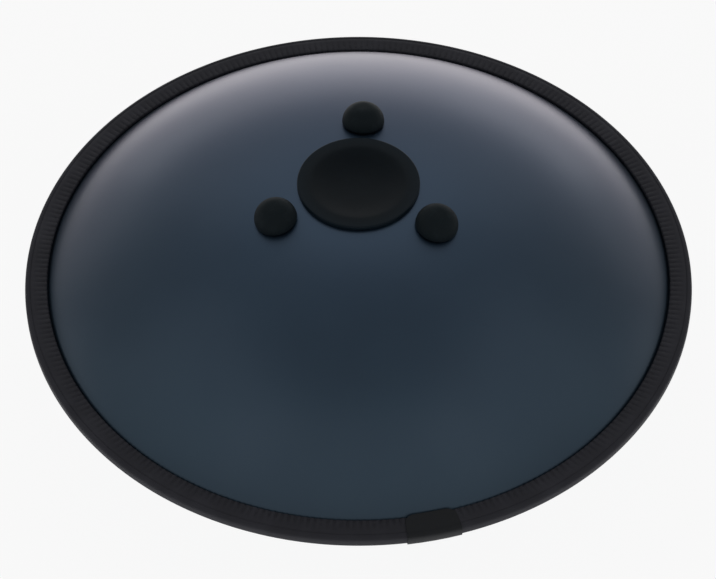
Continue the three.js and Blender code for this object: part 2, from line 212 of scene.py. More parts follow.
class StageSettings(bpy.types.PropertyGroup):
    """Camera, light and pale floor."""

    elevation: turn("Camera elevation", 49.28, "How far the camera stands above the horizon")
    distance: share("Camera distance", 1.8992, "From the camera to the point that it looks at, in metres")
    focal_length: share("Focal length", 141.13, "Lens, in millimetres on a 36 mm sensor")
    aim_right: size("Aim right", -0.35, "Point that the camera looks at, right of the rim's centre")
    aim_down: size("Aim down", 13.18, "Point that the camera looks at, below the rim's centre in the picture")
    aim_lift: size("Aim lift", 2.16, "Height of that centre above the joint plane")
    backdrop: share("Backdrop", 0.939, "Brightness of the pale background")
    floor_glow: share("Floor glow", 1.085, "Light that the floor gives to look as pale as the background")
    floor_shadow: share("Floor shadow", 0.10, "How much of the floor's own light and shade shows")
    walls: share("Walls", 0.244, "Brightness of the dim studio walls")
    ceiling: share("Ceiling", 0.205, "Brightness of the studio ceiling")


def settings(name):
    """One of the property groups on the scene."""
    return getattr(bpy.context.scene, "drum_" + name)


# Modelling tools

def activate(piece):
    """Selects one object alone."""
    bpy.ops.object.select_all(action="DESELECT")
    piece.select_set(True)
    bpy.context.view_layer.objects.active = piece


def start_point(name, place):
    """A new object whose mesh is one point, left open in edit mode."""
    bpy.ops.object.select_all(action="DESELECT")
    bpy.ops.mesh.primitive_plane_add(size=MILLIMETRE)
    piece = bpy.context.object
    piece.name = name
    piece.data.name = name
    bpy.ops.object.mode_set(mode="EDIT")
    bpy.ops.mesh.select_mode(type="VERT")
    bpy.ops.mesh.select_all(action="SELECT")
    bpy.ops.mesh.merge(type="CENTER")
    bpy.ops.transform.translate(value=place)
    return piece


def draw_line(points):
    """Extrudes the open mesh's point along a line of points."""
    for here, there in zip(points, points[1:]):
        bpy.ops.mesh.extrude_vertices_move(TRANSFORM_OT_translate={"value": there - here})


def pick_edges(piece, here, fits=lambda edge: True):
    """Selects the open mesh's edges whose ends pass a test of place, and that pass a test of their own."""
    bpy.ops.mesh.select_mode(type="EDGE")
    bpy.ops.mesh.select_all(action="DESELECT")
    mesh = bmesh.from_edit_mesh(piece.data)
    for edge in mesh.edges:
        if fits(edge) and all(here(corner.co) for corner in edge.verts):
            edge.select_set(True)
    mesh.select_flush_mode()
    bmesh.update_edit_mesh(piece.data)


def is_border(edge):
    """Whether an edge has a face on one side only."""
    return edge.is_boundary


def join_ends(piece):
    """Closes a drawn line from its last point to its first."""
    mesh = bmesh.from_edit_mesh(piece.data)
    mesh.verts.ensure_lookup_table()
    ends = {mesh.verts[0], mesh.verts[-1]}
    for corner in mesh.verts:
        corner.select_set(corner in ends)
    mesh.select_flush_mode()
    bmesh.update_edit_mesh(piece.data)
    bpy.ops.mesh.edge_face_add()


def cap_ends(piece):
    """Fills the open ends of the open mesh."""
    pick_edges(piece, lambda place: True, is_border)
    bpy.ops.mesh.fill_holes(sides=0)


def close_mesh():
    """Merges doubled points, turns the faces outwards and leaves edit mode."""
    bpy.ops.mesh.select_mode(type="VERT")
    bpy.ops.mesh.select_all(action="SELECT")
    bpy.ops.mesh.remove_doubles(threshold=MERGE_DISTANCE)
    bpy.ops.mesh.normals_make_consistent(inside=False)
    bpy.ops.object.mode_set(mode="OBJECT")


def spin_outline(name, outline, steps, closed=False, start=0.0, sweep=FULL_TURN):
    """A piece left open in edit mode: an outline of (radius, height) points spun about +Z."""
    points = [Matrix.Rotation(start, 3, "Z") @ Vector((radius, 0.0, height)) for radius, height in outline]
    piece = start_point(name, points[0])
    draw_line(points)
    if closed:
        join_ends(piece)
    bpy.ops.object.mode_set(mode="OBJECT")
    apply_modifier(piece, "SCREW", axis="Z", angle=sweep, steps=steps, render_steps=steps)
    bpy.ops.object.mode_set(mode="EDIT")
    return piece


def turned(name, outline, steps, closed=False):
    """A finished turned piece: an outline of (radius, height) points spun all the way round."""
    piece = spin_outline(name, outline, steps, closed)
    close_mesh()
    return piece


def cylinder(name, radius, depth, sides):
    """A round bar about the origin, along Z."""
    bpy.ops.object.select_all(action="DESELECT")
    bpy.ops.mesh.primitive_cylinder_add(vertices=sides, radius=radius, depth=depth)
    bpy.context.object.name = name
    return bpy.context.object


def set_in_place(piece, place):
    """Moves a piece by a matrix and keeps its place in its mesh."""
    activate(piece)
    piece.matrix_world = place
    bpy.ops.object.transform_apply(location=True, rotation=True, scale=True)


def copy_of(piece, name):
    """A copy of a piece with its own mesh."""
    activate(piece)
    bpy.ops.object.duplicate(linked=False)
    bpy.context.object.name = name
    bpy.context.object.data.name = name
    return bpy.context.object


def apply_modifier(piece, kind, **values):
    """Adds a modifier, sets it and applies it."""
    activate(piece)
    bpy.ops.object.modifier_add(type=kind)
    modifier = piece.modifiers[-1]
    for setting, value in values.items():
        setattr(modifier, setting, value)
    bpy.ops.object.modifier_apply(modifier=modifier.name)


def cut_away(piece, cutter):
    """Cuts one closed piece out of another and deletes the cutter."""
    apply_modifier(piece, "BOOLEAN", operation="DIFFERENCE", solver="MANIFOLD", object=cutter)
    bpy.data.objects.remove(cutter)


def fit(piece, finish, node, body="drum", crease=35):
    """Shades and finishes a piece and lets it ride on its body in place of its CAD node.

    Edges sharper than the crease, in degrees, stay sharp.
    """
    activate(piece)
    bpy.ops.object.shade_smooth_by_angle(angle=math.radians(crease))
    piece.data.materials.clear()
    piece.data.materials.append(finish_of(finish))
    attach(piece, body)
    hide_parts(node)


# Forms that several pieces share

def arc(radius, height, reach, first, last, steps=4):
    """Points of an arc about (radius, height), from one angle in degrees to another."""
    if reach <= 0:
        return [(radius, height)]
    angles = [math.radians(first + (last - first) * step / steps) for step in range(steps + 1)]
    return [(radius + reach * math.cos(angle), height + reach * math.sin(angle)) for angle in angles]


def soft_corner(before, corner, after, steps=4):
    """Points of a soft bend from one point to another, drawn towards a corner."""
    parts = [step / steps for step in range(steps + 1)]
    return [
        tuple((1 - t) ** 2 * a + 2 * t * (1 - t) * b + t ** 2 * c for a, b, c in zip(before, corner, after))
        for t in parts
    ]


def flange_face():
    """Height of a flange's outer face above the joint plane."""
    shell = settings("shell")
    return shell.bond / 2 + shell.seat_gap + shell.wall


def lip_radius():
    """Radius of the trim's lips."""
    return RIM_RADIUS - settings("trim").depth


def dome_foot():
    """Radius at which the dome's fillet meets the flange."""
    return lip_radius() + settings("trim").cover


class Dome:
    """A pressed dome: part of a flattened ball that runs into the flange through a fillet."""

    passes = 30  # rounds in which the fillet's tilt and the ball settle

    def __init__(self):
        self.shell = settings("shell")
        self.foot = dome_foot()
        self.face_height = flange_face()
        self.edge_tilt = math.pi / 4
        for _ in range(self.passes):
            self.edge = self.foot - self.shell.fillet * math.sin(self.edge_tilt)
            edge_height = self.face_height + self.shell.fillet * (1 - math.cos(self.edge_tilt))
            drop = (self.shell.dome_height - edge_height) / self.shell.flatness
            self.ball = (self.edge ** 2 + drop ** 2) / (2 * drop)
            self.edge_tilt = self.tilt(self.edge)

    def tilt(self, radius):
        """Slope angle of the dome at a radius."""
        return math.atan(self.shell.flatness * radius / math.sqrt(self.ball ** 2 - radius ** 2))

    def drop(self, radius):
        """How far the dome falls from its crown to a radius."""
        return self.shell.flatness * (self.ball - math.sqrt(self.ball ** 2 - radius ** 2))

    def height(self, radius, depth=0.0):
        """Height above the joint plane of the outer face, or of the face that lies depth inside it."""
        return self.shell.dome_height - self.drop(radius) - depth / math.cos(self.tilt(radius))

    def face(self, start, depth):
        """Outline of one face, from a radius on the dome out to the flange's edge."""
        edge = self.edge - depth * math.sin(self.edge_tilt)
        steps = [start + (edge - start) * ring / self.shell.rings for ring in range(self.shell.rings)]
        dome = [(radius, self.height(radius, depth)) for radius in steps]
        fillet = arc(
            self.foot, self.face_height + self.shell.fillet, self.shell.fillet + depth,
            -90 - math.degrees(self.edge_tilt), -90, steps=6)
        return [*dome, *fillet, (self.shell.flange_radius, self.face_height - depth)]


def raised(outline, upwards=1):
    """An outline measured from the joint plane, set at its height; upwards is -1 for the playing side."""
    return [(radius, JOINT_HEIGHT + upwards * height) for radius, height in outline]


def plug_radius():
    """Outer radius of the plug."""
    return settings("shell").port_radius + settings("plug").overlap


def foot_places():
    """Places of the feet on the dome, square to it."""
    foot = settings("foot")
    dome = Dome()
    circle = plug_radius() + foot.to_plug + foot.radius
    seat = Matrix.Translation((circle, 0, JOINT_HEIGHT + dome.height(circle)))
    lean = Matrix.Rotation(dome.tilt(circle), 4, "Y")
    turns = [foot.first_turn + FULL_TURN * number / foot.feet for number in range(foot.feet)]
    return [Matrix.Rotation(angle, 4, "Z") @ seat @ lean for angle in turns]


def channel(lip, back, half, wall, corner, inner_corner=0.0, lip_round=0.0, rows=()):
    """Closed section of a channel that opens towards the axis.

    Rows are (radius, sink) points on both flanks.
    """
    inner = half - wall
    inner_back = back - wall - inner_corner
    return [
        *arc(lip + lip_round, lip_round - half, lip_round, 180, 270),
        *[(radius, sink - half) for radius, sink in rows],
        *arc(back - corner, corner - half, corner, 270, 360, steps=6),
        *arc(back - corner, half - corner, corner, 0, 90, steps=6),
        *[(radius, half - sink) for radius, sink in reversed(rows)],
        *arc(lip + lip_round, half - lip_round, lip_round, 90, 180),
        (lip, inner),
        *arc(inner_back, inner - inner_corner, inner_corner, 90, 0),
        *arc(inner_back, inner_corner - inner, inner_corner, 0, -90),
        (lip, -inner),
    ]


RIB_NARROWING = 2  # power that makes the valleys between the ribs narrower than the crests


def joint_sweep():
    """Angle that the gap between the trim's ends takes up."""
    return settings("trim").joint_gap / RIM_RADIUS


def joint_directions():
    """Directions out through the trim's joint, and along the rim there."""
    out = Matrix.Rotation(settings("trim").joint_turn, 3, "Z") @ Vector((1.0, 0.0, 0.0))
    return out, Vector((-out.y, out.x, 0.0))


def rib_pace():
    """Angle of the ribs' wave for each radian round the rim."""
    return settings("trim").ribs * FULL_TURN / (FULL_TURN - joint_sweep())


def trim_half():
    """Half the height of the trim."""
    return flange_face() + settings("shell").fit_gap + settings("trim").wall


def strip_section(clearance):
    """Section of the steel strip in the middle of the trim's wall, grown by a clearance all round."""
    trim = settings("trim")
    skin = (trim.wall - trim.strip) / 2 - clearance
    wall = trim.strip + 2 * clearance
    corner = max(trim.corner - skin, wall)
    return channel(
        lip_radius() + trim.strip_margin - clearance, RIM_RADIUS - skin, trim_half() - skin, wall, corner,
        inner_corner=corner - wall)


# Shader tools

MIX_FROM, MIX_TO, MIX_COLOUR = 6, 7, 2  # sockets of a Mix node that mixes colours


class Wire:
    """A socket of a node tree. Arithmetic on it adds Math nodes."""

    def __init__(self, shading, socket):
        self.shading = shading
        self.socket = socket

    def other(self, output):
        """Another output of the same node."""
        return Wire(self.shading, self.socket.node.outputs[output])

    def maths(self, operation, first, second):
        """A Math node on two values."""
        return self.shading.node("ShaderNodeMath", {"operation": operation}, {0: first, 1: second})

    def __add__(self, value):
        return self.maths("ADD", self, value)

    def __sub__(self, value):
        return self.maths("SUBTRACT", self, value)

    def __rsub__(self, value):
        return self.maths("SUBTRACT", value, self)

    def __mul__(self, value):
        return self.maths("MULTIPLY", self, value)

    def __pow__(self, value):
        return self.maths("POWER", self, value)

    __radd__ = __add__
    __rmul__ = __mul__


class Shading:
    """The node tree of a material or a world."""

    def __init__(self, owner):
        owner.use_nodes = True
        self.tree = owner.node_tree
        self.tree.nodes.clear()

    def node(self, kind, values=None, sockets=None, output=0):
        """Adds a node, sets its values first and then its sockets, and gives one of its outputs."""
        made = self.tree.nodes.new(kind)
        for name, value in (values or {}).items():
            setattr(made, name, value)
        for name, value in (sockets or {}).items():
            if isinstance(value, Wire):
                self.tree.links.new(value.socket, made.inputs[name])
            else:
                made.inputs[name].default_value = value
        return Wire(self, made.outputs[output]) if made.outputs else None

    def place(self):
        """Object coordinates."""
        return self.node("ShaderNodeTexCoord", output="Object")

    def noise(self, size, detail=2.0, roughness=0.5):
        """A soft random value whose patches are about as large as given, in millimetres."""
        scale = 1 / (size * MILLIMETRE)
        return self.node(
            "ShaderNodeTexNoise", {},
            {"Vector": self.place(), "Scale": scale, "Detail": detail, "Roughness": roughness})

    def mix(self, factor, first, second, blend="MIX"):
        """A colour between two, or one laid over the other."""
        return self.node(
            "ShaderNodeMix", {"data_type": "RGBA", "blend_type": blend},
            {0: factor, MIX_FROM: first, MIX_TO: second}, output=MIX_COLOUR)

    def clamped(self, value, low, high):
        """How far a value lies from one number to another, kept between 0 and 1."""
        return self.node(
            "ShaderNodeMapRange", {}, {"Value": value, "From Min": low, "From Max": high})

    def bump(self, height, depth, strength=1.0):
        """A normal for a relief of a depth, in millimetres."""
        return self.node(
            "ShaderNodeBump", {}, {"Height": height, "Distance": depth * MILLIMETRE, "Strength": strength})

    def surface(self, **sockets):
        """Ends the tree in one plain shader."""
        names = {name.replace("_", " "): value for name, value in sockets.items()}
        shader = self.node("ShaderNodeBsdfPrincipled", {}, names)
        self.node("ShaderNodeOutputMaterial", {}, {"Surface": shader})


def finish_of(maker):
    """The material that a finish function makes, made once."""
    name = maker.__name__
    made = bpy.data.materials.get(name)
    if made is None:
        made = bpy.data.materials.new(name)
        maker(Shading(made), settings("finishes"))
    return made


def tinted(colour, gain):
    """A colour made lighter or darker by a factor."""
    return (*[part * gain for part in colour[:3]], 1.0)


# Finishes

def axis_distance(shading, depth=1.0, right=0.0):
    """Distance from the drum's axis or a line right of it, shortened to front and back by a factor."""
    flat = shading.node(
        "ShaderNodeVectorMath", {"operation": "MULTIPLY_ADD"},
        {0: shading.place(), 1: (1.0, depth, 0.0), 2: (-right, 0.0, 0.0)})
    return shading.node("ShaderNodeVectorMath", {"operation": "LENGTH"}, {0: flat}, output="Value")


PAINT_CROWN, PAINT_RIM = 0.05, 0.2  # radii between which the paint turns from one tint to the other
CLOUD_SHADE = (0.90, 0.90, 0.92, 1.0)  # what the paint's darker clouds are multiplied by


def satin_paint(shading, finishes):
    """Blue-grey metallic paint under satin lacquer, bluer round the middle, with a faint orange peel."""
    outwards = shading.clamped(axis_distance(shading), PAINT_CROWN, PAINT_RIM)
    ground = shading.mix(outwards, finishes.crown_paint, finishes.rim_paint)
    clouds = shading.noise(size=90, detail=3.0)
    patches = shading.noise(size=25)
    lighter = shading.clamped(clouds + 0.25 * patches, low=0.45, high=0.85)
    darker = shading.mix(1.0, ground, CLOUD_SHADE, blend="MULTIPLY")
    peel = shading.noise(size=1.6) + 0.5 * shading.noise(size=0.6)
    shading.surface(
        Base_Color=shading.mix(lighter, darker, ground),
        Metallic=1.0,
        Roughness=finishes.paint_roughness + 0.06 * (patches - 0.5),
        Normal=shading.bump(peel, depth=0.06, strength=0.35),
        Specular_Tint=finishes.grazing_tint,
        Coat_Weight=1.0,
        Coat_Roughness=finishes.lacquer_roughness)


def rib_valleys(shading):
    """How deep a place lies in the valleys between the trim's ribs, which fade outwards: the depth of the
    bump, and where shade is painted.
    """
    trim = settings("trim")
    across = shading.node("ShaderNodeSeparateXYZ", {}, {0: shading.place()}, output="X")
    around = across.maths("ARCTAN2", across.other("Y"), across)
    along = around.maths("FLOORED_MODULO", around - (trim.joint_turn + joint_sweep() / 2), FULL_TURN)
    wave = along.maths("COSINE", along * rib_pace(), 0.0)
    fade = shading.clamped(axis_distance(shading), lip_radius() + trim.rib_reach, lip_radius())
    uneven = shading.clamped(shading.noise(size=3), low=0.25, high=0.6)
    return (0.5 - 0.5 * wave) ** RIB_NARROWING * fade * uneven


def trim_vinyl(shading, finishes):
    """Black vinyl: fine grain, paler where it is rubbed, with painted shade in the valleys between the ribs.
    """
    worn_black = tinted(finishes.trim_black, 1.6)
    # a darker vinyl that stands in for shade in the rib valleys: painted shade
    painted_valley_shade = tinted(finishes.trim_black, 0.88)
    grain = shading.noise(size=0.8, detail=3.0)
    paleness = shading.clamped(shading.noise(size=20, detail=3.0), low=0.45, high=0.75)
    vinyl = shading.mix(0.5 * paleness + 0.3 * grain, finishes.trim_black, worn_black)
    valleys = rib_valleys(shading)
    shading.surface(
        # base colour darkened in the rib valleys: painted shade, laid over the real relief of the bump
        Base_Color=shading.mix(valleys, vinyl, painted_valley_shade),
        Specular_IOR_Level=0.25,
        Roughness=0.5 + 0.2 * grain,
        Normal=shading.bump(0.07 * grain - valleys, depth=0.6))


def shrink_sleeve(shading, finishes):
    """Smooth black shrink sleeve with faint draw lines."""
    line_black = tinted(finishes.sleeve_black, 1.3)
    lines = shading.noise(size=4)
    shading.surface(
        Base_Color=shading.mix(lines, finishes.sleeve_black, line_black),
        Specular_IOR_Level=0.25,
        Roughness=0.42 + 0.12 * lines,
        Normal=shading.bump(lines, depth=0.1, strength=0.3))


DUSTY = 2.2  # how much paler dusty rubber, and the plug's paler rim, is


def moulded_rubber(shading, black, dusty, gloss, roughness):
    """Moulded black rubber: finely pitted, with a trace of dust."""
    pits = shading.noise(size=0.7)
    dust = shading.clamped(shading.noise(size=6, detail=4.0, roughness=0.7), low=0.5, high=0.8)
    shading.surface(
        Base_Color=shading.mix(0.35 * dust, black, dusty),
        Specular_IOR_Level=gloss,
        Specular_Tint=settings("finishes").rubber_gloss,
        Roughness=roughness + 0.12 * pits,
        Normal=shading.bump(pits, depth=0.08, strength=0.5))


PLUG_PALE_REACH = 4 * MILLIMETRE  # how far the plug's paler rim reaches into its bowl


def plug_rubber(shading, finishes):
    """Smooth rubber of the plug, paler round its rim."""
    rim = plug_radius()
    # base colour lighter towards the plug's rim
    paleness = shading.clamped(axis_distance(shading), settings("plug").bowl * rim - PLUG_PALE_REACH, rim)
    pale = tinted(finishes.plug_black, DUSTY)
    black = shading.mix(paleness, finishes.plug_black, pale)
    moulded_rubber(shading, black, pale, gloss=0.23, roughness=0.31)


def foot_rubber(shading, finishes):
    """Dull rubber of the feet."""
    black = finishes.foot_black
    moulded_rubber(shading, black, tinted(black, DUSTY), gloss=0.16, roughness=0.48)


def bright_zinc(shading, finishes):
    """Zinc plate: cloudy, with fine scratches."""
    clouded = tinted(finishes.zinc, 0.8)
    clouds = shading.noise(size=4, detail=3.0)
    scratches = shading.noise(size=0.4)
    shading.surface(
        Base_Color=shading.mix(clouds, clouded, finishes.zinc),
        Metallic=1.0,
        Roughness=0.28 + 0.18 * clouds,
        Normal=shading.bump(scratches, depth=0.02, strength=0.4))


def grey_adhesive(shading, finishes):
    """Dull structural adhesive, slightly uneven."""
    lump_grey = tinted(finishes.adhesive, 1.5)
    lumps = shading.noise(size=3, detail=3.0)
    shading.surface(
        Base_Color=shading.mix(lumps, finishes.adhesive, lump_grey),
        Roughness=0.65 + 0.2 * lumps,
        Normal=shading.bump(lumps, depth=0.2, strength=0.5))


# Pieces

class DRUM_OT_underside_shell(bpy.types.Operator):
    """Press the underside shell, with its flange, sound port and stud holes"""

    bl_idname = "tongue_drum.underside_shell"
    bl_label = "Underside Shell"

    def execute(self, context):
        shell = settings("shell")
        foot = settings("foot")
        dome = Dome()
        outline = [
            *dome.face(shell.port_radius, shell.wall),
            *reversed(dome.face(shell.port_radius, 0.0)),
        ]
        piece = turned("underside_shell", raised(outline), shell.facets, closed=True)
        for place in foot_places():
            drill = cylinder("stud_drill", foot.stud + shell.fit_gap, 2 * foot.radius, sides=32)
            set_in_place(drill, place)
            cut_away(piece, drill)
        self.round_port(piece, shell)
        fit(piece, satin_paint, "bottom_shell")
        return {"FINISHED"}

    def round_port(self, piece, shell):
        """Breaks both edges of the sound port."""
        activate(piece)
        bpy.ops.object.mode_set(mode="EDIT")
        pick_edges(
            piece, lambda place: place.xy.length < shell.port_radius + MERGE_DISTANCE,
            lambda edge: abs(edge.verts[0].co.z - edge.verts[1].co.z) < shell.wall / 2)
        bpy.ops.mesh.bevel(offset=shell.port_round, segments=3)
        bpy.ops.object.mode_set(mode="OBJECT")


class DRUM_OT_playing_shell(bpy.types.Operator):
    """Press the playing shell and cut its tongues"""

    bl_idname = "tongue_drum.playing_shell"
    bl_label = "Playing Shell"

    def execute(self, context):
        shell = settings("shell")
        dome = Dome()
        inside = self.crown_side(dome, shell.wall)
        outside = self.crown_side(dome, 0.0)
        piece = turned("playing_shell", raised([*inside, *reversed(outside)], upwards=-1), shell.facets)
        for path in self.slot_paths():
            self.cut_slot(piece, path)
        fit(piece, satin_paint, "tongue_shell")
        return {"FINISHED"}

    def crown_side(self, dome, depth):
        """One face of the shell, from the middle of its flat crown to the flange's edge."""
        shell = dome.shell
        flat = shell.dome_height - shell.crown_drop - depth
        crown = math.sqrt(dome.ball ** 2 - (dome.ball - shell.crown_drop / shell.flatness) ** 2)
        corner = crown - depth * math.tan(dome.tilt(crown) / 2)
        start = corner + shell.crown_blend
        bend = soft_corner(
            (corner - shell.crown_blend, flat), (corner, flat), (start, dome.height(start, depth)))
        return [(0.0, flat), (corner / 2, flat), *bend[:-1], *dome.face(start, depth)]

    def slot_paths(self):
        """Paths of all the slots, seen in plan. The notes alternate from side to side as the scale rises."""
        tongue = settings("tongue")
        root = dome_foot() - tongue.root_inset
        tip_radius = tongue.width / 2 - tongue.taper
        paths = []
        for note in range(tongue.notes):
            drop = (tongue.longest - tongue.shortest) * note / (tongue.notes - 1)
            tip = root - (tongue.longest - drop) + tip_radius
            side = 1 if note % 2 == 0 else -1
            angle = side * FULL_TURN * math.ceil(note / 2) / tongue.notes + math.pi / 2
            path = [
                (root, tongue.width / 2), *arc(tip, 0.0, tip_radius, 90, 270, steps=24),
                (root, -tongue.width / 2),
            ]
            paths.append([Matrix.Rotation(angle, 3, "Z") @ Vector((*point, 0.0)) for point in path])
        half_root = math.degrees(tongue.centre_root) / 2
        ring = arc(0.0, 0.0, tongue.centre_radius, half_root - 90, 270 - half_root, steps=48)
        paths.append([Vector((*point, 0.0)) for point in ring])
        return paths

    def cut_slot(self, piece, path):
        """Cuts one slot down through the shell, with a round hole at both ends."""
        tongue = settings("tongue")
        blade = start_point("slot_blade", path[0])
        draw_line(path)
        bpy.ops.mesh.select_all(action="SELECT")
        bpy.ops.mesh.extrude_region_move(TRANSFORM_OT_translate={"value": (0, 0, 2 * JOINT_HEIGHT)})
        bpy.ops.mesh.select_all(action="SELECT")
        bpy.ops.transform.translate(value=(0, 0, -JOINT_HEIGHT))
        bpy.ops.object.mode_set(mode="OBJECT")
        apply_modifier(blade, "SOLIDIFY", thickness=tongue.slot, offset=0.0, use_even_offset=True)
        cut_away(piece, blade)
        for end in (path[0], path[-1]):
            drill = cylinder("slot_drill", tongue.slot_end, 2 * JOINT_HEIGHT, sides=24)
            set_in_place(drill, Matrix.Translation(end))
            cut_away(piece, drill)


class DRUM_OT_flange_bond(bpy.types.Operator):
    """Lay the ring of adhesive between the flanges"""

    bl_idname = "tongue_drum.flange_bond"
    bl_label = "Flange Bond"

    def execute(self, context):
        shell = settings("shell")
        half = shell.bond / 2
        foot = dome_foot()
        bead = [
            *arc(foot + half, 0.0, half, 270, 90),
            (shell.flange_radius, half), (shell.flange_radius, -half),
        ]
        piece = turned("flange_bond_ring", raised(bead), shell.facets, closed=True)
        fit(piece, grey_adhesive, "flange_bond")
        return {"FINISHED"}


class DRUM_OT_rim_trim(bpy.types.Operator):
    """Bend the ribbed edge trim round the flanges, with the pocket and the strip inside it"""

    bl_idname = "tongue_drum.rim_trim"
    bl_label = "Rim Trim"

    steps_per_rib = 6
    ribs_per_pocket_step = 2
    rib_rows = 5  # rows of faces along a rib
    rib_hold = 1.6  # above 1, the ribs keep their full depth over a part of their reach
    wear = 0.2  # share of the ribs' depth that comes and goes round the rim
    wear_waves = (37, 23)

    def execute(self, context):
        trim = settings("trim")
        gap = joint_sweep()
        piece = self.bent("edge_trim", self.trim_section(trim), trim.ribs * self.steps_per_rib, gap)
        bpy.ops.object.mode_set(mode="OBJECT")
        pocket_steps = trim.ribs // self.ribs_per_pocket_step
        pocket = self.bent("trim_pocket", strip_section(settings("shell").fit_gap), pocket_steps, gap)
        bpy.ops.object.mode_set(mode="OBJECT")
        self.join_at_ends(piece, pocket, trim)
        self.press_ribs(piece, trim)
        fit(piece, trim_vinyl, "rim_trim", crease=60)
        self.bend_strip(trim, pocket_steps)
        return {"FINISHED"}

    def bent(self, name, section, steps, gap):
        """A section bent round the rim from one end of the joint to the other, with open ends."""
        start = settings("trim").joint_turn + gap / 2
        return spin_outline(name, raised(section), steps, closed=True, start=start, sweep=FULL_TURN - gap)

    def trim_section(self, trim):
        """Section of the trim, with rows for the ribs and a crease beside the outer corner."""
        lip = lip_radius() + trim.lip_round
        back = RIM_RADIUS - trim.corner
        crease = [
            (back - trim.crease_width, 0.0), (back - trim.crease_width / 2, trim.crease_depth),
        ]
        rib_rows = [(lip + trim.rib_reach * row / self.rib_rows, 0.0) for row in range(1, self.rib_rows)]
        return channel(
            lip_radius(), RIM_RADIUS, trim_half(), trim.wall, trim.corner, lip_round=trim.lip_round,
            rows=[*rib_rows, *crease])

    def join_at_ends(self, piece, pocket, trim):
        """Joins trim and pocket into one closed wall by faces at both ends."""
        activate(piece)
        pocket.select_set(True)
        bpy.ops.object.join()
        bpy.ops.object.mode_set(mode="EDIT")
        out, along = joint_directions()
        for side in (1, -1):
            pick_edges(
                piece, lambda place: place.dot(out) > 0 and 0 < side * place.dot(along) < trim.joint_gap,
                is_border)
            bpy.ops.mesh.fill()
        close_mesh()

    def press_ribs(self, piece, trim):
        """Sinks the valleys between the ribs, deepest at the lips and fading outwards."""
        half = trim_half()
        valleys = piece.vertex_groups.new(name="rib_valleys")
        start = trim.joint_turn + joint_sweep() / 2
        for corner in piece.data.vertices:
            radius = corner.co.xy.length
            shoulder = (abs(corner.co.z - JOINT_HEIGHT) - half + trim.lip_round) / trim.lip_round
            fade = 1 - (radius - lip_radius()) / trim.rib_reach
            if shoulder <= 0 or fade <= 0:
                continue
            along = (math.atan2(corner.co.y, corner.co.x) - start) % FULL_TURN
            valley = (0.5 - 0.5 * math.cos(along * rib_pace())) ** RIB_NARROWING
            worn = self.wear * (1 - math.prod(math.sin(wave * along) for wave in self.wear_waves))
            sink = min(1.0, shoulder) * min(1.0, self.rib_hold * fade) * valley * (1 - worn)
            valleys.add([corner.index], sink, "REPLACE")
        apply_modifier(
            piece, "DISPLACE", vertex_group=valleys.name, strength=-trim.rib_depth, mid_level=0.0)
        piece.vertex_groups.clear()

    def bend_strip(self, trim, steps):
        """Bends the steel strip that sits in the pocket."""
        gap = (trim.joint_gap + 2 * settings("shell").fit_gap) / RIM_RADIUS
        strip = self.bent("trim_clip_strip", strip_section(0.0), steps, gap)
        cap_ends(strip)
        close_mesh()
        fit(strip, bright_zinc, "trim_clip_core")


class DRUM_OT_joint_sleeve(bpy.types.Operator):
    """Slide the smooth sleeve over the trim's joint"""

    bl_idname = "tongue_drum.joint_sleeve"
    bl_label = "Joint Sleeve"

    steps = 4

    def execute(self, context):
        trim = settings("trim")
        gap = settings("shell").fit_gap
        reach = gap + trim.sleeve_wall
        lip = lip_radius() - trim.sleeve_overhang
        section = channel(
            lip, RIM_RADIUS + reach, trim_half() + reach, trim.sleeve_wall, trim.corner + reach,
            inner_corner=trim.corner + gap)
        sweep = trim.sleeve_length / RIM_RADIUS
        start = trim.joint_turn - sweep / 2
        piece = spin_outline(
            "joint_sleeve", raised(section), self.steps, closed=True, start=start, sweep=sweep)
        cap_ends(piece)
        self.round_corners(piece, trim, lip, sweep)
        close_mesh()
        fit(piece, shrink_sleeve, "trim_joint_sleeve")
        return {"FINISHED"}

    def round_corners(self, piece, trim, lip, sweep):
        """Rounds the corners of both flanks that lie on the dome's side."""
        _, along = joint_directions()
        end = lip * math.sin(sweep / 2)
        pick_edges(piece, lambda place: (
            place.xy.length < lip + MERGE_DISTANCE and abs(place.dot(along)) > end - MERGE_DISTANCE))
        bpy.ops.mesh.bevel(offset=trim.sleeve_corner, segments=5)


class DRUM_OT_port_plug(bpy.types.Operator):
    """Mould the dished rubber plug"""

    bl_idname = "tongue_drum.port_plug"
    bl_label = "Port Plug"

    facets = 128
    dish_steps = 30

    def execute(self, context):
        plug = settings("plug")
        shell = settings("shell")
        dome = Dome()
        outer = plug_radius()
        neck = shell.port_radius - shell.fit_gap
        hollow = neck - plug.neck_wall
        seat = dome.height(outer) + shell.fit_gap
        top = seat + plug.rim
        web = top - plug.dish - plug.web
        end = web - plug.hollow
        lip = outer - 2 * plug.rim_round
        parts = [1 - step / self.dish_steps for step in range(self.dish_steps + 1)]
        sinks = [max(0.0, 1 - (part / plug.bowl) ** 2) ** plug.bowl_ease for part in parts]
        dish = [(lip * part, top - plug.dish * sink) for part, sink in zip(parts, sinks)]
        outline = [
            (0.0, web),
            *soft_corner((hollow - plug.rim_round, web), (hollow, web), (hollow, web - plug.rim_round)),
            (hollow, end), (neck - plug.lead, end), (neck, end + plug.lead),
            (neck, dome.height(neck) + shell.fit_gap),
            (outer - plug.rim_round, dome.height(outer - plug.rim_round) + shell.fit_gap),
            (outer, seat + plug.rim_round / 2),
            *arc(outer - plug.rim_round, top - plug.rim_round, plug.rim_round, 0, 90),
            *dish,
        ]
        piece = turned("sound_port_plug", raised(outline), self.facets)
        fit(piece, plug_rubber, "port_plug", body="plug")
        return {"FINISHED"}


